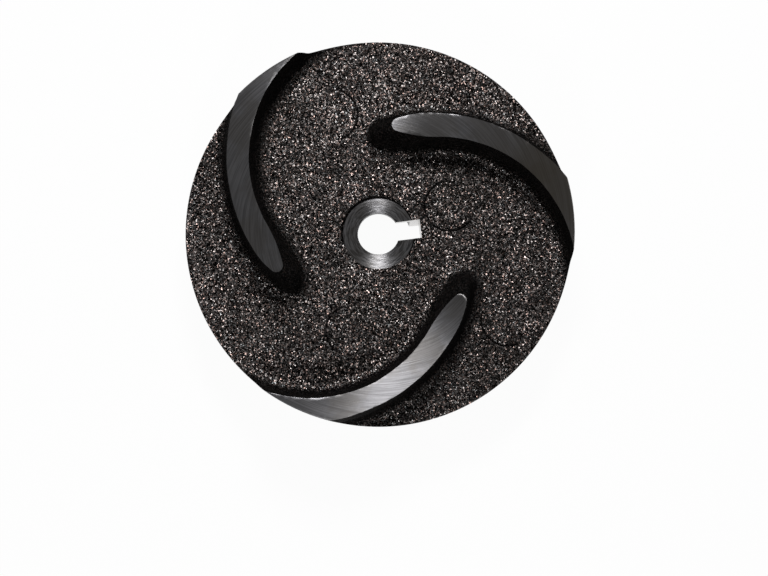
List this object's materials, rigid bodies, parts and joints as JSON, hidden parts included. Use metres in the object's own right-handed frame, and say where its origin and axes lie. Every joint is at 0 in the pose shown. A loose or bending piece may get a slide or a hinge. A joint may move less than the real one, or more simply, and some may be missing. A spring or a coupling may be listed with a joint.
{
  "type": "pump impeller",
  "caption": "Semi-open pump impeller, cast in iron: a flat disc with curved vanes on its front, a keyed hub behind and a bolt hole through its web.",
  "frame": {"origin": "on the axis, at the hub's back end face", "axes": "+Z along the axis from the hub towards the vanes, +X through the keyway"},
  "size_m": [0.125, 0.125, 0.035],
  "materials": {
    "cast_iron": "dark sand-cast faces; vane tops, rim, bores and seats turned smooth"
  },
  "bodies": {
    "root": {"impeller": "cast_iron"}
  },
  "joints": []
}
